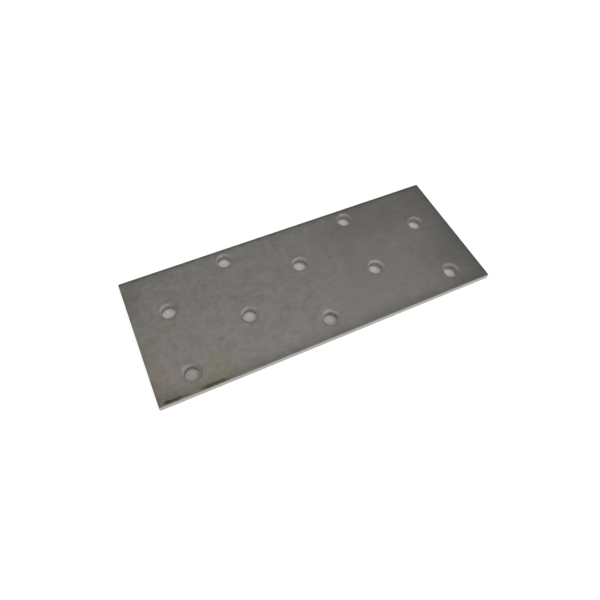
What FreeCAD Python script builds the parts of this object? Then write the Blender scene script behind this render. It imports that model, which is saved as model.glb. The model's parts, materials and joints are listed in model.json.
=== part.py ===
import FreeCAD, Part
import math
import os

import Sketcher

# Mending plate: a flat steel plate, blanked from strip in one hit and punched with
# round screw holes in staggered rows. It is one piece.
#
# Frame, in millimetres: the plate lies on its plain face at z = 0, centred on the origin.
# +X runs along its length, +Y across its width to the far long edge, +Z up through the
# face that the punch entered.

SIZES = (
    ("length", 125.0, "end to end"),
    ("width", 50.0, "across, near long edge to far long edge"),
    ("thickness", 2.5, "of the steel strip"),
    ("edge_roll", 0.4, "radius that the blanking die rolls onto the upper outline"),
    ("bore_diameter", 5.0, "punch diameter, which is the straight wall of each hole"),
    ("rim_width", 1.05, "ring of metal round each hole that the punch draws down"),
    ("rim_depth", 0.37, "how far that ring sinks at the wall of the hole"),
    ("column_pitch", 25.0, "from one column of holes to the next, along the length"),
    ("row_pitch", 12.5, "from one row of holes to the next, across the width"),
    ("end_margin", 12.9, "left end of the plate to the first column"),
    ("side_margin", 7.1, "near long edge of the plate to the first row"),
)

# The punch profile is drawn this far past both faces, so that it cuts cleanly through them.
PUNCH_OVERRUN = 1.0

# Rows and columns go on for as long as the rim of the last hole stays clear of the rolled edge.
RIM_RADIUS = "(sizes.bore_diameter / 2 + sizes.rim_width)"
LAST_MARGIN = f"({RIM_RADIUS} + sizes.edge_roll)"
COLUMNS = f"(floor((sizes.length - sizes.end_margin - {LAST_MARGIN}) / sizes.column_pitch) + 1)"
ROWS = f"(floor((sizes.width - sizes.side_margin - {LAST_MARGIN}) / sizes.row_pitch) + 1)"

# The sketcher counts the points of an edge up from zero, which is the edge itself, and the
# axes of a sketch down from minus one.
EDGE_POINTS = ("edge", "start", "end", "centre")
SKETCH_AXES = ("horizontal_axis", "vertical_axis")
ORIGIN_POINT = ("horizontal_axis", "start")


def make_sheet(doc):
    """The driving dimensions, one named cell each."""
    sheet = doc.addObject("Spreadsheet::Sheet", "sizes")
    for row, (name, value, meaning) in enumerate(SIZES, 1):
        sheet.set(f"A{row}", name)
        sheet.set(f"B{row}", str(value))
        sheet.set(f"C{row}", meaning)
        sheet.setAlias(f"B{row}", name)
    doc.recompute()
    return sheet


def origin_feature(body, role):
    """One of the body's own origin planes or axes, found by its role."""
    return next(item for item in body.Origin.OriginFeatures if item.Role == role)


def new_sketch(body, name, plane):
    """An empty sketch laid on one of the body's origin planes."""
    sketch = body.newObject("Sketcher::SketchObject", name)
    sketch.AttachmentSupport = [(origin_feature(body, plane), "")]
    sketch.MapMode = "FlatFace"
    return sketch


def sketch_number(name):
    """The sketcher's own number for a named point of an edge or a named axis."""
    if name in EDGE_POINTS:
        return EDGE_POINTS.index(name)
    return -1 - SKETCH_AXES.index(name)


def constrain(sketch, kind, *where):
    """Add one geometric rule to the sketch, with its points and axes given by name."""
    numbers = [sketch_number(item) if isinstance(item, str) else item for item in where]
    return sketch.addConstraint(Sketcher.Constraint(kind, *numbers))


def dimension(sketch, name, expression, *rule):
    """Add one named dimension to the sketch and bind it to the sheet."""
    sketch.renameConstraint(constrain(sketch, *rule), name)
    sketch.setExpression(f"Constraints.{name}", expression)


def close_loop(sketch, edges):
    """Join each edge's end to the start of the next, and the last to the first."""
    for edge, following in zip(edges, edges[1:] + edges[:1]):
        constrain(sketch, "Coincident", edge, "end", following, "start")


def outline_sketch(body, sheet):
    """The plate's rectangle, centred on the origin. Its corners are cut sharp."""
    sketch = new_sketch(body, "outline", "XY_Plane")
    x, y = sheet.length / 2, sheet.width / 2
    corners = [FreeCAD.Vector(*point, 0) for point in ((-x, -y), (x, -y), (x, y), (-x, y))]
    near, right, far, left = sketch.addGeometry(
        [Part.LineSegment(a, b) for a, b in zip(corners, corners[1:] + corners[:1])]
    )
    close_loop(sketch, [near, right, far, left])
    for line in (near, far):
        constrain(sketch, "Horizontal", line)
    for line in (right, left):
        constrain(sketch, "Vertical", line)
    constrain(sketch, "Symmetric", near, "start", far, "start", *ORIGIN_POINT)
    dimension(sketch, "length", "sizes.length", "DistanceX", near, "start", near, "end", 2 * x)
    dimension(sketch, "width", "sizes.width", "DistanceY", right, "start", right, "end", 2 * y)
    return sketch


def blank(doc, body, sheet):
    """The plain blank: the rectangle at full thickness, its upper outline rolled over."""
    pad = body.newObject("PartDesign::Pad", "blank")
    pad.Profile = outline_sketch(body, sheet)
    pad.setExpression("Length", "sizes.thickness")
    doc.recompute()
    top = pad.Shape.BoundBox.ZMax
    upper = [
        f"Edge{number}"
        for number, edge in enumerate(pad.Shape.Edges, 1)
        if math.isclose(edge.BoundBox.ZMin, top, abs_tol=1e-6)
    ]
    roll = body.newObject("PartDesign::Fillet", "rolled_edge")
    roll.Base = (pad, upper)
    roll.setExpression("Radius", "sizes.edge_roll")
    doc.recompute()
    return roll


def punch_sketch(body, sheet, name, column, row):
    """Half section of one punched hole, beside the hole's own axis.

    From below, the wall is straight up to the rim, which then opens in an arc that ends
    level with the upper face.
    """
    sketch = new_sketch(body, name, "XZ_Plane")
    wall = sheet.bore_diameter / 2
    rim = wall + sheet.rim_width
    face = sheet.thickness
    sink = face - sheet.rim_depth
    over = PUNCH_OVERRUN
    radius = (sheet.rim_width**2 + sheet.rim_depth**2) / (2 * sheet.rim_depth)
    centre = FreeCAD.Vector(rim, face - radius, 0)
    sweep = math.asin(sheet.rim_width / radius)
    circle = Part.Circle(centre, FreeCAD.Vector(0, 0, 1), radius)

    def line(x1, y1, x2, y2):
        return Part.LineSegment(FreeCAD.Vector(x1, y1, 0), FreeCAD.Vector(x2, y2, 0))

    floor, side, lip, cap_side, cap, axis = sketch.addGeometry(
        [
            line(0, -over, wall, -over),
            line(wall, -over, wall, sink),
            Part.ArcOfCircle(circle, math.pi / 2, math.pi / 2 + sweep),
            line(rim, face, rim, face + over),
            line(rim, face + over, 0, face + over),
            line(0, face + over, 0, -over),
        ]
    )
    # The arc runs from the face down to the wall, so its two ends are joined by hand.
    for first, first_end, second, second_end in (
        (floor, "end", side, "start"),
        (side, "end", lip, "end"),
        (lip, "start", cap_side, "start"),
        (cap_side, "end", cap, "start"),
        (cap, "end", axis, "start"),
        (axis, "end", floor, "start"),
    ):
        constrain(sketch, "Coincident", first, first_end, second, second_end)
    for flat in (floor, cap):
        constrain(sketch, "Horizontal", flat)
    for upright in (side, cap_side):
        constrain(sketch, "Vertical", upright)
    constrain(sketch, "PointOnObject", axis, "start", "vertical_axis")
    constrain(sketch, "PointOnObject", axis, "end", "vertical_axis")
    constrain(sketch, "Vertical", lip, "start", lip, "centre")
    dimension(sketch, "wall", "sizes.bore_diameter / 2", "DistanceX", floor, "start", floor, "end", wall)
    dimension(sketch, "rim_width", "sizes.rim_width", "DistanceX", lip, "end", lip, "start", rim - wall)
    dimension(sketch, "rim_depth", "sizes.rim_depth", "DistanceY", lip, "end", lip, "start", face - sink)
    dimension(sketch, "face", "sizes.thickness", "DistanceY", *ORIGIN_POINT, lip, "start", face)
    constrain(sketch, "DistanceY", floor, "start", *ORIGIN_POINT, over)
    constrain(sketch, "DistanceY", cap_side, "start", cap_side, "end", over)
    place = "AttachmentOffset.Base"
    sketch.setExpression(
        f"{place}.x", f"sizes.end_margin - sizes.length / 2 + {column} * sizes.column_pitch"
    )
    sketch.setExpression(
        f"{place}.z", f"sizes.width / 2 - sizes.side_margin - {row} * sizes.row_pitch"
    )
    return sketch


def punch_grid(doc, body, sheet, name, first, column_count, row_count):
    """Punch one hole at the place of the first, then repeat it at every other column and row."""
    hole = body.newObject("PartDesign::Groove", f"{name}_hole")
    hole.Profile = punch_sketch(body, sheet, f"{name}_section", *first)
    hole.ReferenceAxis = (hole.Profile[0], ["V_Axis"])
    hole.Angle = 360
    doc.recompute()
    grid = body.newObject("PartDesign::LinearPattern", f"{name}_holes")
    grid.Originals = [hole]
    grid.Direction = (origin_feature(body, "X_Axis"), [""])
    grid.Direction2 = (origin_feature(body, "Y_Axis"), [""])
    grid.setExpression("Occurrences", column_count)
    grid.setExpression("Occurrences2", row_count)
    grid.setExpression("Length", f"({column_count} - 1) * 2 * sizes.column_pitch")
    grid.setExpression("Length2", f"({row_count} - 1) * 2 * sizes.row_pitch")
    body.Tip = grid
    doc.recompute()
    return grid


def mending_plate(doc, sheet):
    """The blank, then its two sets of holes, which lie half a step apart."""
    body = doc.addObject("PartDesign::Body", "mending_plate")
    body.Label = "mending_plate"
    steps = [blank(doc, body, sheet)]
    outer_counts = (f"floor(({COLUMNS} + 1) / 2)", f"floor(({ROWS} + 1) / 2)")
    inner_counts = (f"floor({COLUMNS} / 2)", f"floor({ROWS} / 2)")
    steps.append(punch_grid(doc, body, sheet, "outer", (0, 0), *outer_counts))
    steps.append(punch_grid(doc, body, sheet, "inner", (1, 1), *inner_counts))
    bore = math.pi * (sheet.bore_diameter / 2) ** 2 * sheet.thickness
    for before, after in zip(steps, steps[1:]):
        holes = after.Occurrences * after.Occurrences2
        cut = before.Shape.Volume - after.Shape.Volume
        print(f"{after.Label}: {holes} holes, {cut:.1f} cubic millimetres removed")
        if cut < holes * bore * 0.99:
            raise RuntimeError(f"{after.Label} cut less than its holes should")
    return body


def check(doc, bodies):
    """Stop here if any step failed or a finished solid isn't sound."""
    for item in doc.Objects:
        if {"Invalid", "Error"} & set(item.State):
            raise RuntimeError(f"{item.Label} failed: {item.State}")
    for body in bodies:
        shape = body.Shape
        if shape.isNull() or not shape.isValid() or len(shape.Solids) != 1:
            raise RuntimeError(f"{body.Label} isn't one sound solid")


def main():
    doc = FreeCAD.newDocument("mending_plate_model")
    sheet = make_sheet(doc)
    bodies = [mending_plate(doc, sheet)]
    doc.recompute()
    check(doc, bodies)
    os.makedirs("parts", exist_ok=True)
    for body in bodies:
        body.Shape.exportStep(f"parts/{body.Label}.step")
        box = body.Shape.BoundBox
        print(
            f"{body.Label}: {box.XLength:.2f} x {box.YLength:.2f} x {box.ZLength:.2f} mm,"
            f" {body.Shape.Volume:.1f} cubic millimetres, {len(body.Shape.Faces)} faces"
        )


main()
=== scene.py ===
# %% [markdown]
# # A punched steel mending plate
#
# A mending plate is a flat strip of steel that holds two timbers together. A press blanks it
# from strip in one hit and punches the screw holes, and it is sold as it leaves the press:
# a dull grey face, brighter edges where the metal was cut, and a soft rim round each hole
# where the punch drew the steel down. Those three finishes are what make it look real, so
# this lesson models the rim and the cut edges as shapes and keeps the face for the material.

# %% Load the measured plate
import json
import math

import bmesh
import bpy
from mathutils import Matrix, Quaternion, Vector, noise


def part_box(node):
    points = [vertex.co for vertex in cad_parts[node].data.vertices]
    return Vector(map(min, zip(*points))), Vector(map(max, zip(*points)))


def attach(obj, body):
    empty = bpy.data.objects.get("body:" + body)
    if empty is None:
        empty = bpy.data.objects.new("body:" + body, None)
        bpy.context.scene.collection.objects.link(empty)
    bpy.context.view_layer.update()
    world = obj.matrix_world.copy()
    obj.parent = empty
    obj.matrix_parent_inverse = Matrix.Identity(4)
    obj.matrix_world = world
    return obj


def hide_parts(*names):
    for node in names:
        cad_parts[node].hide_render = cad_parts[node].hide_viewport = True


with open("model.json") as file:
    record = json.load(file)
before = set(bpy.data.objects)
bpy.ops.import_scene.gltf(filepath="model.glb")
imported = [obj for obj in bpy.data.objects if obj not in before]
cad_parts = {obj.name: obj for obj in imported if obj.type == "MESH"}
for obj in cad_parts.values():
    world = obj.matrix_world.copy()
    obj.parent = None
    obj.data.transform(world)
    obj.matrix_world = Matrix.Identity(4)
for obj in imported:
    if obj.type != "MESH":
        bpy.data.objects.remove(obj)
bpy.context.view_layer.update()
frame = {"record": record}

MM = 0.001

# %% [markdown]
# ## Sizes
#
# The plate and its holes are already measured, so nothing here is guessed twice. The frame
# gives the two corners of the plate, and its record gives each screw hole as a point on the
# axis, a radius and the length of straight wall. What is left of the thickness above that
# wall is the depth of the rim. Only the small things that a press leaves are named here.

# %% Read the plate and its holes from the frame
NODE = "mending_plate"
low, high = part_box(NODE)
thickness = high.z - low.z

holes = [mount for mount in frame["record"]["mounts"] if mount["kind"] == "bore"]
bore_radius = holes[0]["dims"]["r_mm"] * MM
rim_depth = thickness - holes[0]["dims"]["length_mm"] * MM

RIM_WIDTH = 1.05 * MM
EDGE_ROLL = 0.4 * MM
POLISHED_SHARE = 0.42

print(f"{len(holes)} holes of radius {bore_radius / MM:.2f} mm, rim {rim_depth / MM:.2f} mm deep")

# %% [markdown]
# ## Building a skin from loops
#
# The plate is a closed skin. Its walls could be made with a solidify modifier and boolean
# holes, but a cut edge isn't one plain wall: it is rolled at the top, polished below that and
# torn at the bottom. Stacking closed loops of points and bridging each one to the next gives
# full control over that section, and every loop can wander a little by itself.

# %% Loops and bridges
SKIN = bmesh.new()
FACE, POLISHED, TORN = range(3)


def add_loop(points):
    """New vertices for one closed loop."""
    return [SKIN.verts.new(point) for point in points]


def bridge(first, second, finish):
    """A band of quads between two loops with the same number of points."""
    count = len(first)
    for index in range(count):
        following = (index + 1) % count
        quad = SKIN.faces.new((first[index], first[following], second[following], second[index]))
        quad.material_index = finish
        quad.smooth = True


def stack(loops, finishes):
    """Bridge a pile of loops from the top down, one finish for each band."""
    for first, second, finish in zip(loops, loops[1:], finishes):
        bridge(first, second, finish)


# %% [markdown]
# ## Wander
#
# Cut metal is never quite even. Smooth noise that is read along the cut, with the height as a
# second direction, moves each point by hundredths of a millimetre. The same place always
# gives the same number, so the plate comes out alike on every run.

# %% A smooth number from -1 to 1 for any place
def wander(place, step, seed):
    """Smooth noise that changes over about one step of length."""
    return noise.noise(Vector(place) / step + Vector((seed, seed * 1.7, seed * 0.3)))


# %% [markdown]
# ## The outline
#
# Seen from above the plate is a rectangle with sharp corners. Going down its wall there is
# first the roll, a quarter round where the die pressed the metal over, then a band that the
# blade polished, and then the torn band where the steel broke away. Each level is the same
# rectangle moved in a little, so the corners stay crisp and the four sides meet in a mitre.

# %% One level of the outline
SIDE_STEP = 0.5 * MM


def rectangle(inset, height):
    """Points round the rectangle, counter-clockwise, with the corners always among them."""
    corners = [
        Vector((low.x + inset, low.y + inset, height)),
        Vector((high.x - inset, low.y + inset, height)),
        Vector((high.x - inset, high.y - inset, height)),
        Vector((low.x + inset, high.y - inset, height)),
    ]
    counts = [round((high.x - low.x) / SIDE_STEP), round((high.y - low.y) / SIDE_STEP)] * 2
    points = []
    for corner, following, count in zip(corners, corners[1:] + corners[:1], counts):
        points += [corner.lerp(following, step / count) for step in range(count)]
    return points


# %% What the break leaves: a ragged wall and an uneven line above it
TEAR_DEPTH = 0.07 * MM
BREAK_RISE, BREAK_RIPPLE = 0.2 * MM, 0.08 * MM


def torn_in(points):
    """The same loop with each point drawn in from the wall by a ragged depth."""
    ragged = []
    for point in points:
        depth = TEAR_DEPTH * (0.55 + 0.45 * wander(point, 0.9 * MM, 3.0))
        depth += 0.3 * TEAR_DEPTH * wander(point, 0.35 * MM, 8.0)
        on_long_side = abs(abs(point.y) - high.y) < abs(abs(point.x) - high.x)
        if on_long_side:
            inward = Vector((0, -math.copysign(1, point.y), 0))
        else:
            inward = Vector((-math.copysign(1, point.x), 0, 0))
        ragged.append(point + inward * max(depth, 0))
    return ragged


def break_rise(point):
    """How far the line where the steel began to tear lies above or below its mean height."""
    return BREAK_RISE * wander(point, 6 * MM, 21) + BREAK_RIPPLE * wander(point, 1 * MM, 25)


# %% Stack the outline
ROLL_STEPS = 4
TEAR_STEPS = 5

outline = []
for step in range(ROLL_STEPS + 1):
    angle = math.pi / 2 * step / ROLL_STEPS
    inset = EDGE_ROLL * (1 - math.sin(angle))
    height = high.z - EDGE_ROLL * (1 - math.cos(angle))
    outline.append(rectangle(inset, height))
polish_end = low.z + (thickness - EDGE_ROLL) * (1 - POLISHED_SHARE)
for step in range(TEAR_STEPS + 1):
    share = step / TEAR_STEPS
    loop = rectangle(0, polish_end + (low.z - polish_end) * share)
    for point in loop:
        point.z += (1 - share) * break_rise(point)
    outline.append(torn_in(loop) if step else loop)

outline_loops = [add_loop(points) for points in outline]
stack(outline_loops, [FACE] * ROLL_STEPS + [POLISHED] + [TORN] * TEAR_STEPS)
print(f"outline: {len(outline_loops)} loops of {len(outline_loops[0])} points")

# %% [markdown]
# ## The punched holes
#
# A punch leaves the same three zones, turned inside out. The rim dips towards the hole and
# gets steeper on the way, because the steel was dragged down before it sheared.
# Real rims aren't even: the ring is a little wider on one side than on the other, and no two
# holes match. The torn zone opens slightly towards the bottom, where the slug broke out.

# %% One level of a hole
HOLE_POINTS = 96


def ring(centre, height, radius_at, depth_at=None):
    """Points round a hole's axis, with a radius and a sink that may change with the angle."""
    points = []
    for index in range(HOLE_POINTS):
        angle = 2 * math.pi * index / HOLE_POINTS
        spoke = Vector((math.cos(angle), math.sin(angle), 0))
        sink = depth_at(spoke) if depth_at else 0
        points.append(centre + spoke * radius_at(spoke) + Vector((0, 0, height - sink)))
    return points


# %% Stack one hole
RIM_STEPS = 6
RIM_SLOPE = 0.6
WALL_UNEVEN = 0.02 * MM
POLISH_UNEVEN = 0.15 * MM
TEAR_FLARE, TEAR_UNEVEN = 0.05 * MM, 0.03 * MM


def punched_hole(number, centre):
    """All loops of one hole, from its outer rim down to the underside."""
    seed = 11.0 + number * 5.3

    def rim_scale(spoke):
        return 1 + 0.22 * wander(spoke, 1.1, seed) + 0.06 * wander(spoke, 0.3, seed + 1)

    def wall(spoke):
        return bore_radius + WALL_UNEVEN * wander(spoke, 0.4, seed + 2)

    def polish_rise(spoke):
        return POLISH_UNEVEN * wander(spoke, 0.5, seed + 3)

    loops = []
    for step in range(RIM_STEPS + 1):
        share = 1 - step / RIM_STEPS
        drawn = 1 - share
        sunk = rim_depth * (RIM_SLOPE * drawn + (1 - RIM_SLOPE) * drawn**2)

        def rim(spoke):
            return wall(spoke) + RIM_WIDTH * share * rim_scale(spoke)

        loops.append(ring(centre, high.z, rim, lambda spoke: sunk * rim_scale(spoke)))
    polish_low = low.z + thickness * (1 - POLISHED_SHARE)
    loops.append(ring(centre, polish_low, wall, polish_rise))
    for step in range(1, TEAR_STEPS + 1):
        share = step / TEAR_STEPS

        def torn(spoke):
            uneven = wander(spoke + Vector((0, 0, share)), 0.12, seed + 4)
            return wall(spoke) + TEAR_FLARE * share + TEAR_UNEVEN * uneven

        loops.append(ring(centre, polish_low + (low.z - polish_low) * share, torn))
    return [add_loop(points) for points in loops]


# %% Punch all the holes
hole_loops = []
for number, hole in enumerate(holes):
    x, y, _ = hole["pos_m"]
    loops = punched_hole(number, Vector((x, y, 0)))
    stack(loops, [FACE] * RIM_STEPS + [POLISHED] + [TORN] * TEAR_STEPS)
    hole_loops.append(loops)
print(f"holes: {len(hole_loops)} stacks of {len(hole_loops[0])} loops")

# %% [markdown]
# ## The two faces
#
# What remains is the flat of the upper face and the underside, each a rectangle with holes
# in it. Filling between the loops with triangles keeps every point shared, so the skin is
# closed. The fill stays flat shaded, which keeps long thin triangles from dragging the
# shading of the rims across the face.

# %% Fill the faces
def fill(loops, up):
    """Triangles between one outer loop and the loops of the holes."""
    edges = []
    for loop in loops:
        edges += [SKIN.edges.get(ends) for ends in zip(loop, loop[1:] + loop[:1])]
    made = bmesh.ops.triangle_fill(
        SKIN, use_beauty=True, use_dissolve=False, edges=edges, normal=(0, 0, up)
    )
    triangles = [item for item in made["geom"] if isinstance(item, bmesh.types.BMFace)]
    for triangle in triangles:
        triangle.material_index = FACE
        triangle.smooth = False
    return triangles


upper = fill([outline_loops[0]] + [loops[0] for loops in hole_loops], 1)
under = fill([outline_loops[-1]] + [loops[-1] for loops in hole_loops], -1)
print(f"upper face: {len(upper)} triangles, underside: {len(under)}")

# %% Mark the sharp edges and make the object
SHARP_ANGLE = math.radians(28)

bmesh.ops.recalc_face_normals(SKIN, faces=SKIN.faces)
for edge in SKIN.edges:
    if len(edge.link_faces) == 2 and edge.calc_face_angle() > SHARP_ANGLE:
        edge.smooth = False

mesh = bpy.data.meshes.new("plate_skin")
SKIN.to_mesh(mesh)
open_edges = sum(1 for edge in SKIN.edges if len(edge.link_faces) != 2)
SKIN.free()
plate = bpy.data.objects.new("plate_skin", mesh)
bpy.context.scene.collection.objects.link(plate)
print(f"skin: {len(mesh.polygons)} faces, {open_edges} open edges")

# %% [markdown]
# ## Reading the steel
#
# The face is rolled steel with a thin dull skin. Four things break up its grey: faint
# streaks that run with the rolling, cloudy patches a few millimetres across, a finer mottle
# that is strongest at the left end, and a few nicks. A plain noise would look like stone, so
# the streaks come from noise that is stretched along the rolling direction before it is
# read. All of it is read in the plate's own coordinates, so it stays put when the camera
# moves. The helpers below each add one node, which keeps the recipes short.

# %% Node helpers
RANGE = ("From Min", "From Max", "To Min", "To Max")
MIX_SHARE, MIX_FIRST, MIX_SECOND, MIX_RESULT = 0, 6, 7, 2


def new_material(name):
    """An empty node material with a shader and an output, and the shader's node."""
    material = bpy.data.materials.new(name)
    material.use_nodes = True
    nodes = material.node_tree.nodes
    nodes.clear()
    shader = nodes.new("ShaderNodeBsdfPrincipled")
    output = nodes.new("ShaderNodeOutputMaterial")
    material.node_tree.links.new(shader.outputs["BSDF"], output.inputs["Surface"])
    return material, shader


class Nodes:
    """Short calls that add one node and give back its output."""

    def __init__(self, material):
        self.tree = material.node_tree
        self.place = self.add("ShaderNodeTexCoord").outputs["Object"]
        split = self.add("ShaderNodeSeparateXYZ")
        self.put(split.inputs["Vector"], self.place)
        self.x, self.y, self.z = (split.outputs[name] for name in "XYZ")

    def add(self, kind):
        return self.tree.nodes.new(kind)

    def put(self, socket, value):
        """Link an output into a socket, or set the socket to a plain value."""
        if isinstance(value, bpy.types.NodeSocket):
            self.tree.links.new(value, socket)
        else:
            socket.default_value = value

    def stretched(self, factors):
        """The plate's coordinates, scaled. A factor below 1 makes long marks that way."""
        mapping = self.add("ShaderNodeMapping")
        self.put(mapping.inputs["Vector"], self.place)
        mapping.inputs["Scale"].default_value = factors
        return mapping.outputs["Vector"]

    def noise(self, vector, scale, detail=2.0, rough=0.5):
        node = self.add("ShaderNodeTexNoise")
        self.put(node.inputs["Vector"], vector)
        node.inputs["Scale"].default_value = scale
        node.inputs["Detail"].default_value = detail
        node.inputs["Roughness"].default_value = rough
        return node.outputs["Fac"]

    def remap(self, value, low_in, high_in, low_out=0.0, high_out=1.0):
        """A smooth step from one number to another, over a range of the value."""
        node = self.add("ShaderNodeMapRange")
        node.interpolation_type = "SMOOTHSTEP"
        self.put(node.inputs["Value"], value)
        for name, number in zip(RANGE, (low_in, high_in, low_out, high_out)):
            node.inputs[name].default_value = number
        return node.outputs["Result"]

    def math(self, operation, first, second=0.0):
        node = self.add("ShaderNodeMath")
        node.operation = operation
        self.put(node.inputs[0], first)
        self.put(node.inputs[1], second)
        return node.outputs["Value"]

    def plus(self, first, second):
        return self.math("ADD", first, second)

    def minus(self, first, second):
        return self.math("SUBTRACT", first, second)

    def times(self, first, second):
        return self.math("MULTIPLY", first, second)

    def swing(self, value, reach):
        """A noise made to swing about nought, by the reach."""
        return self.times(self.minus(value, 0.5), reach)

    def mix(self, share, first, second, blend="MIX"):
        node = self.add("ShaderNodeMix")
        node.data_type = "RGBA"
        node.blend_type = blend
        self.put(node.inputs[MIX_SHARE], share)
        self.put(node.inputs[MIX_FIRST], first)
        self.put(node.inputs[MIX_SECOND], second)
        return node.outputs[MIX_RESULT]

    def tint(self, share, colour, factor):
        """Multiply a colour by another one, where the share says so."""
        return self.mix(share, colour, factor, "MULTIPLY")

    def bump(self, height, strength, distance):
        node = self.add("ShaderNodeBump")
        self.put(node.inputs["Height"], height)
        node.inputs["Strength"].default_value = strength
        node.inputs["Distance"].default_value = distance
        return node.outputs["Normal"]


# %% [markdown]
# ## Masks that know the plate
#
# A mark on a real plate has a place: along the outline, on the upper face only, or round one
# spot. Painting would need a picture. A mask that is worked out from the coordinates needs
# none and stays sharp at any distance.

# %% Masks for the outline and the upper face
half = (high - low) / 2


def from_outline(nodes):
    """How far a point lies inside the outline, as a number in metres."""
    to_end = nodes.minus(half.x, nodes.math("ABSOLUTE", nodes.x))
    to_side = nodes.minus(half.y, nodes.math("ABSOLUTE", nodes.y))
    return nodes.math("MINIMUM", to_end, to_side)


def on_top(nodes, share):
    """The same share, but nothing on the underside."""
    upper_part = nodes.remap(nodes.z, low.z + 0.2 * thickness, low.z + 0.5 * thickness)
    return nodes.times(share, upper_part)


# %% Masks for single spots
def stain(nodes, uneven, x, y, reach_x, reach_y, ragged):
    """A soft-edged patch round one spot, given in millimetres, frayed by an uneven noise."""
    far_x = nodes.math("DIVIDE", nodes.minus(nodes.x, x * MM), reach_x * MM)
    far_y = nodes.math("DIVIDE", nodes.minus(nodes.y, y * MM), reach_y * MM)
    squares = nodes.plus(nodes.times(far_x, far_x), nodes.times(far_y, far_y))
    reach = nodes.plus(nodes.math("SQRT", squares), nodes.swing(uneven, 2 * ragged))
    return on_top(nodes, nodes.remap(reach, 0.25, 1.1, 1.0, 0.0))


def nicks(nodes, scale, rarity, size):
    """Small round spots, one in some of the cells of a scattered pattern."""
    cells = nodes.add("ShaderNodeTexVoronoi")
    nodes.put(cells.inputs["Vector"], nodes.place)
    cells.inputs["Scale"].default_value = scale
    pick = nodes.add("ShaderNodeSeparateColor")
    nodes.put(pick.inputs["Color"], cells.outputs["Color"])
    spot = nodes.remap(cells.outputs["Distance"], 0.4 * size, size, 1.0, 0.0)
    return nodes.times(spot, nodes.remap(pick.outputs["Red"], rarity, 1.0))


# %% [markdown]
# ## The grey of the face
#
# The three noises add up to one number, the tone, which picks a grey between a dark and a
# pale steel. The mottle fades out towards the right end, where the face is smoother.

# %% The rolled grain
DARK_STEEL, PALE_STEEL = (0.148, 0.1435, 0.1335, 1), (0.246, 0.239, 0.2225, 1)


def steel_grey(nodes, mottle):
    """The bare grey of the rolled face, before any marks."""
    streaks = nodes.noise(nodes.stretched((0.2, 1.0, 1.0)), 700.0, 2.0, 0.55)
    clouds = nodes.noise(nodes.place, 240.0, 3.0, 0.5)
    along = nodes.plus(nodes.x, nodes.times(clouds, 20 * MM))
    rough_end = nodes.remap(along, -10 * MM, 42 * MM, 1.0, 0.15)
    tone = nodes.swing(mottle, nodes.times(rough_end, 1.2))
    tone = nodes.plus(tone, nodes.swing(streaks, 0.35))
    tone = nodes.plus(tone, nodes.swing(clouds, 0.55))
    return nodes.mix(nodes.plus(tone, 0.5), DARK_STEEL, PALE_STEEL)


# %% [markdown]
# ## Marks on the face
#
# Oil and handling leave faint tints: olive and rose by the near left corner, brown along the
# left end, a breath of rust round one hole at the right, and three small oily smears by the
# near left corner. Shade is painted in too: a dark band along the outline, most of all by the
# near edge, darker patches at the corners and the right end, and a dark line along the far
# edge as a painted reflection. The rims and the rolled edge get a painted highlight. Each mark
# is a colour that the grey is multiplied by, so the grain shows through it as it would through
# a real film of oil.

# %% Tints, patches and smears
BROWN, ROSE, RUST = (1.05, 0.96, 0.81, 1), (1.03, 0.975, 0.975, 1), (1.0, 0.93, 0.91, 1)
OLIVE, MOSS = (1.0, 0.97, 0.84, 1), (0.98, 1.0, 0.92, 1)
# Of the next three tints, the first darkens the real oily smears and also paints dark shade lines
# by the outline, and the other two paint shade. The tint after them paints a highlight.
OIL_AND_SHADE, PAINTED_SHADE, PATCH_OF_SHADE = (0.45, 0.43, 0.4, 1), (0.76, 0.76, 0.77, 1), (0.86, 0.86, 0.86, 1)
RIM_HIGHLIGHT = (1.2, 1.2, 1.2, 1)
DARK_NICK, PALE_NICK = (0.72, 0.71, 0.7, 1), (1.3, 1.3, 1.3, 1)

# Each spot: its place and its reach along and across the plate, how ragged it is, its tint.
PATCHES = (
    (-59, -16.5, 10, 8, 0.4, ROSE),
    (-41, -19, 6.5, 7, 0.6, OLIVE),
    (-50, 1, 8, 3, 0.6, MOSS),
    (-45, -23, 20, 2.2, 0.6, OLIVE),
    (51, 7.5, 6, 4.5, 0.6, RUST),
    # The last four patches are painted shade: darker corners and ends of the face.
    (38, 17, 34, 15, 0.3, PATCH_OF_SHADE),
    (-61, -22, 9, 7, 0.3, PATCH_OF_SHADE),
    (55, -11, 19, 17, 0.3, PATCH_OF_SHADE),
    (-62, 18, 7, 15, 0.3, PATCH_OF_SHADE),
)
SMEARS = (
    (-44, -24.3, 5.5, 0.8, 0.8, OIL_AND_SHADE),
    (-57, -24.3, 5, 0.6, 0.8, OIL_AND_SHADE),
    (-59.4, -24.1, 1.8, 0.8, 0.5, OIL_AND_SHADE),
)
print(f"marks: {len(PATCHES)} patches and {len(SMEARS)} smears")


def spotted(nodes, colour, spots):
    """The colour with each spot laid over it."""
    uneven = nodes.noise(nodes.place, 420.0, 3.0, 0.6)
    for *shape, tint in spots:
        colour = nodes.tint(stain(nodes, uneven, *shape), colour, tint)
    return colour


def browned(nodes, colour):
    """A patchy brown along the left end, stronger on its near half."""
    patchy = nodes.remap(nodes.noise(nodes.place, 330.0, 2.0, 0.5), 0.35, 0.65)
    share = nodes.times(patchy, nodes.remap(nodes.x, -62 * MM, -54 * MM, 1.0, 0.0))
    share = nodes.times(share, nodes.remap(nodes.y, -6 * MM, 6 * MM, 1.0, 0.25))
    return nodes.tint(on_top(nodes, share), colour, BROWN)
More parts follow.
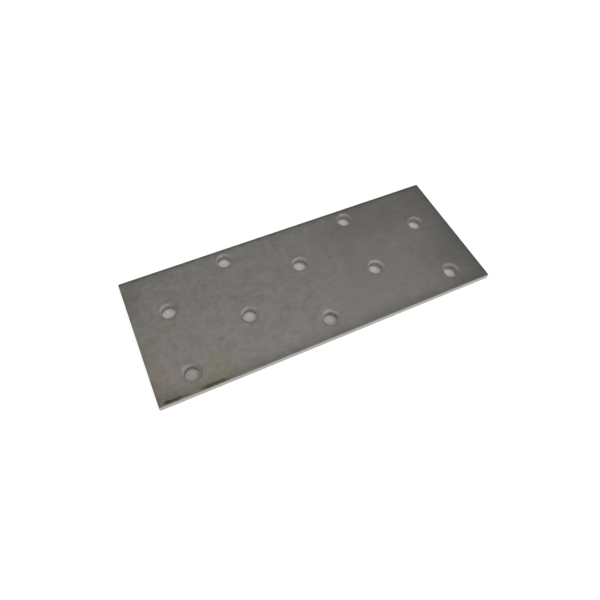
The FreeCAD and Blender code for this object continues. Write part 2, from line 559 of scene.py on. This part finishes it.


# %% Painted shade along the outline, and a painted highlight on the rims and the rolled edge
def painted_edge_shade(nodes, colour, mottle):
    """Painted shade along the outline and the near edge, and a painted dark line at the far edge.
    """
    ragged = nodes.swing(mottle, 0.8 * MM)
    inside = nodes.plus(from_outline(nodes), ragged)
    across = nodes.minus(nodes.y, ragged)
    not_left = nodes.remap(nodes.x, -62 * MM, -55 * MM, 0.1, 1.0)
    flat = nodes.remap(nodes.z, high.z - 0.06 * MM, high.z - 0.01 * MM)
    # Painted shade: a wide dark band and a thin dark line along the outline, hardly at the left
    # end.
    wide = nodes.times(nodes.remap(inside, 0.0, 4.5 * MM, 0.5, 0.0), not_left)
    thin = nodes.times(nodes.remap(inside, 0.5 * MM, 1.7 * MM, 0.2, 0.0), not_left)
    # Painted shade by the near edge, and a dark line along the far edge as a painted reflection.
    near_band = nodes.times(nodes.remap(across, -24.5 * MM, -18.5 * MM, 0.45, 0.0), flat)
    far_line = nodes.remap(across, high.y - 1.7 * MM, high.y - 0.8 * MM, 0.0, 0.4)
    for share, tint in ((wide, PAINTED_SHADE), (thin, OIL_AND_SHADE), (near_band, PAINTED_SHADE), (far_line, OIL_AND_SHADE)):
        colour = nodes.tint(on_top(nodes, share), colour, tint)
    return colour


def highlights_shade_and_nicks(nodes, colour):
    """A painted highlight on the rims and rolled edge, painted shade at the right end, and nicks.
    """
    # Painted highlight on the rims and the rolled edge.
    below_face = nodes.remap(nodes.z, high.z - 0.2 * MM, high.z - 0.02 * MM, 1.0, 0.0)
    colour = nodes.tint(on_top(nodes, below_face), colour, RIM_HIGHLIGHT)
    # Painted shade at the right end.
    right_end = nodes.remap(nodes.x, 46 * MM, 63 * MM)
    colour = nodes.tint(on_top(nodes, right_end), colour, PAINTED_SHADE)
    colour = nodes.tint(nicks(nodes, 330.0, 0.62, 0.12), colour, DARK_NICK)
    return nodes.tint(nicks(nodes, 270.0, 0.55, 0.1), colour, PALE_NICK)


# %% Put the face together
def rolled_face():
    """Dull rolled steel with its marks and a fine, shallow grain."""
    material, shader = new_material("rolled_face")
    nodes = Nodes(material)
    mottle = nodes.noise(nodes.place, 520.0, 3.0, 0.6)
    grain = nodes.noise(nodes.place, 2600.0, 2.0, 0.6)
    colour = browned(nodes, steel_grey(nodes, mottle))
    colour = spotted(nodes, colour, PATCHES)
    colour = highlights_shade_and_nicks(nodes, painted_edge_shade(nodes, colour, mottle))
    nodes.put(shader.inputs["Base Color"], spotted(nodes, colour, SMEARS))
    shader.inputs["Metallic"].default_value = 1.0
    nodes.put(shader.inputs["Roughness"], nodes.remap(mottle, 0.3, 0.7, 0.53, 0.57))
    relief = nodes.plus(nodes.times(grain, 0.5), nodes.times(mottle, 0.1))
    nodes.put(shader.inputs["Normal"], nodes.bump(relief, 0.25, 0.05 * MM))
    return material


# %% [markdown]
# ## The cut edges
#
# The blade polishes the upper part of a cut and leaves fine upright lines in it. Below, the
# steel tears and shows a bright, grainy break. Both are bare metal, so they are lighter than
# the face. One recipe serves for both: a fine noise drives the colour, the gloss and the
# relief, and only its shape and its strength differ.

# %% Bare metal, polished and torn
def bare_metal(name, scale, stretch, detail, rough, colours, gloss, relief):
    """Freshly cut steel, with one noise behind its colour, gloss and relief."""
    material, shader = new_material(name)
    nodes = Nodes(material)
    marks = nodes.noise(nodes.stretched(stretch), scale, detail, rough)
    nodes.put(shader.inputs["Base Color"], nodes.mix(marks, *colours))
    shader.inputs["Metallic"].default_value = 1.0
    nodes.put(shader.inputs["Roughness"], nodes.remap(marks, 0.3, 0.7, *gloss))
    nodes.put(shader.inputs["Normal"], nodes.bump(marks, *relief))
    return material


polished_band = bare_metal(
    "polished_band",
    scale=3500.0,
    stretch=(1.0, 1.0, 0.05),
    detail=2.0,
    rough=0.5,
    colours=((0.35, 0.344, 0.33, 1), (0.45, 0.443, 0.427, 1)),
    gloss=(0.3, 0.45),
    relief=(0.3, 0.03 * MM),
)
torn_band = bare_metal(
    "torn_band",
    scale=3200.0,
    stretch=(1.0, 1.0, 1.0),
    detail=3.0,
    rough=0.6,
    colours=((0.36, 0.355, 0.34, 1), (0.5, 0.495, 0.48, 1)),
    gloss=(0.5, 0.7),
    relief=(0.6, 0.08 * MM),
)

# %% Give the plate its finishes, in the order of FACE, POLISHED and TORN
for finish in (rolled_face(), polished_band, torn_band):
    mesh.materials.append(finish)
    print("finish:", finish.name, len(finish.node_tree.nodes), "nodes")

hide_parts(NODE)
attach(plate, "root")

# %% [markdown]
# ## Floor
#
# The plate lies on plain pale paper. The paper is lifted to white, which a floor can do by
# glowing a little for the camera and for reflections only, so no more light falls on the
# steel. The paper under the plate is left out of the glow, so the holes stay grey inside, and
# there the paper is painted a shade darker towards the near left, a painted shade in those
# holes. The light that does fall gives the plate its own soft shadow.

# %% Mix the paper
DARKER_PAPER, LIGHTER_PAPER = (0.485, 0.469, 0.441, 1), (0.505, 0.489, 0.462, 1)
SHADED = (0.75, 0.74, 0.74, 1)


def pale_paper():
    """Matt paper that glows only round the plate, and only for the camera and reflections."""
    material, shader = new_material("pale_paper")
    nodes = Nodes(material)
    outside = nodes.remap(from_outline(nodes), 0.0, 0.4 * MM, 1.0, 0.0)
    slant = nodes.plus(nodes.y, nodes.times(nodes.x, 0.25))
    near_left = nodes.minus(nodes.remap(slant, -30 * MM, 0.0, 1.0, 0.0), outside)
    paper = nodes.mix(nodes.noise(nodes.place, 400.0), DARKER_PAPER, LIGHTER_PAPER)
    # Under the plate the paper is painted a shade darker towards the near left: painted shade for
    # the holes there.
    nodes.put(shader.inputs["Base Color"], nodes.tint(near_left, paper, SHADED))
    shader.inputs["Roughness"].default_value = 0.9
    shader.inputs["Specular IOR Level"].default_value = 0.0

    path = nodes.add("ShaderNodeLightPath").outputs
    seen = nodes.math("MAXIMUM", path["Is Camera Ray"], path["Is Glossy Ray"])
    seen = nodes.math("MAXIMUM", seen, path["Is Transmission Ray"])
    away = nodes.add("ShaderNodeVectorMath")
    away.operation = "LENGTH"
    nodes.put(away.inputs[0], nodes.place)
    glow = nodes.times(nodes.remap(away.outputs["Value"], 0.3, 1.6, 0.6, 0.95), outside)
    nodes.put(shader.inputs["Emission Color"], (1, 1, 1, 1))
    nodes.put(shader.inputs["Emission Strength"], nodes.times(seen, glow))
    return material


# %% Lay the paper
FLOOR_REACH = 3.0
FLOOR_GAP = 0.02 * MM

floor_height = low.z - FLOOR_GAP
corners = [
    (x * FLOOR_REACH, y * FLOOR_REACH, floor_height)
    for x, y in ((-1, -1), (1, -1), (1, 1), (-1, 1))
]
floor_mesh = bpy.data.meshes.new("floor")
floor_mesh.from_pydata(corners, [], [(0, 1, 2, 3)])
floor_mesh.materials.append(pale_paper())
floor = bpy.data.objects.new("floor", floor_mesh)
bpy.context.scene.collection.objects.link(floor)
print(f"paper: {2 * FLOOR_REACH:.0f} m across, {FLOOR_GAP / MM:.2f} mm below the plate")

# %% [markdown]
# ## Lamps and room
#
# Steel shows what is round it, so the light is what shapes it. Three large soft lamps share
# the work. One stands low at the front left and lights the near cut edge, one stands higher
# at the front right and makes the far left rims glow, and one hangs above and behind for the
# face. The room is white at the horizon, like a studio wall, and dim above it, so the face
# falls off towards the far right.

# %% Hang the lamps
LAMP_DISTANCE, LAMP_SIZE = 1.2, 0.7
centre = (low + high) / 2


def soft_lamp(name, azimuth, elevation, power):
    """A square lamp that looks at the plate. Azimuth 0 is in front, towards -Y."""
    turn, lift = math.radians(azimuth), math.radians(elevation)
    flat = math.cos(lift)
    away = Vector((math.sin(turn) * flat, -math.cos(turn) * flat, math.sin(lift)))
    light = bpy.data.lights.new(name, "AREA")
    light.shape = "SQUARE"
    light.size = LAMP_SIZE
    light.energy = power
    lamp = bpy.data.objects.new(name, light)
    lamp.location = centre + away * LAMP_DISTANCE
    lamp.rotation_euler = away.to_track_quat("Z", "Y").to_euler()
    bpy.context.scene.collection.objects.link(lamp)
    print(f"{name}: {LAMP_DISTANCE:.1f} m away, {power:.1f} W")


soft_lamp("front_lamp", -35, 42, 3.8)
soft_lamp("side_lamp", 60, 60, 4.9)
soft_lamp("top_lamp", 180, 78, 4.4)

# %% Paint the room
HORIZON, ROOM = 1.1, 0.05
FADE_FROM, FADE_TO = 0.35, 0.75

world = bpy.data.worlds.new("room")
world.use_nodes = True
tree = world.node_tree
direction = tree.nodes.new("ShaderNodeTexCoord").outputs["Generated"]
split = tree.nodes.new("ShaderNodeSeparateXYZ")
fade = tree.nodes.new("ShaderNodeMapRange")
fade.interpolation_type = "SMOOTHSTEP"
for name, number in zip(RANGE, (FADE_FROM, FADE_TO, HORIZON, ROOM)):
    fade.inputs[name].default_value = number
tree.links.new(direction, split.inputs["Vector"])
tree.links.new(split.outputs["Z"], fade.inputs["Value"])
tree.links.new(fade.outputs["Result"], tree.nodes["Background"].inputs["Strength"])
tree.nodes["Background"].inputs["Color"].default_value = (1, 1, 1, 1)
bpy.context.scene.world = world
print(f"room: strength {HORIZON} at the horizon, {ROOM} overhead")

# %% [markdown]
# ## The camera
#
# The view is close and from above, a little to the left, so the far end is clearly smaller
# than the near one. The lens and the place were worked out from the four corners of the
# plate in the picture. The camera is also tipped sideways by a few degrees.

# %% Place the camera
CAMERA_PLACE = Vector((-50.515, -89.587, 150.95)) * MM
CAMERA_AIM = Vector((-5.853, -6.304, 1.25)) * MM
CAMERA_ROLL = math.radians(-3.6617)
LENS = 29.922
SENSOR = 36.0

view = bpy.data.cameras.new("view")
view.lens = LENS
view.sensor_width = SENSOR
view.clip_start = 0.005
camera = bpy.data.objects.new("view", view)
camera.location = CAMERA_PLACE
facing = (CAMERA_AIM - CAMERA_PLACE).to_track_quat("-Z", "Y")
camera.rotation_mode = "QUATERNION"
camera.rotation_quaternion = facing @ Quaternion((0, 0, 1), -CAMERA_ROLL)
bpy.context.scene.collection.objects.link(camera)
bpy.context.scene.camera = camera
bpy.context.scene.view_settings.view_transform = "Standard"
print(f"camera {(CAMERA_PLACE - CAMERA_AIM).length / MM:.0f} mm from the plate, lens {LENS:.1f} mm")
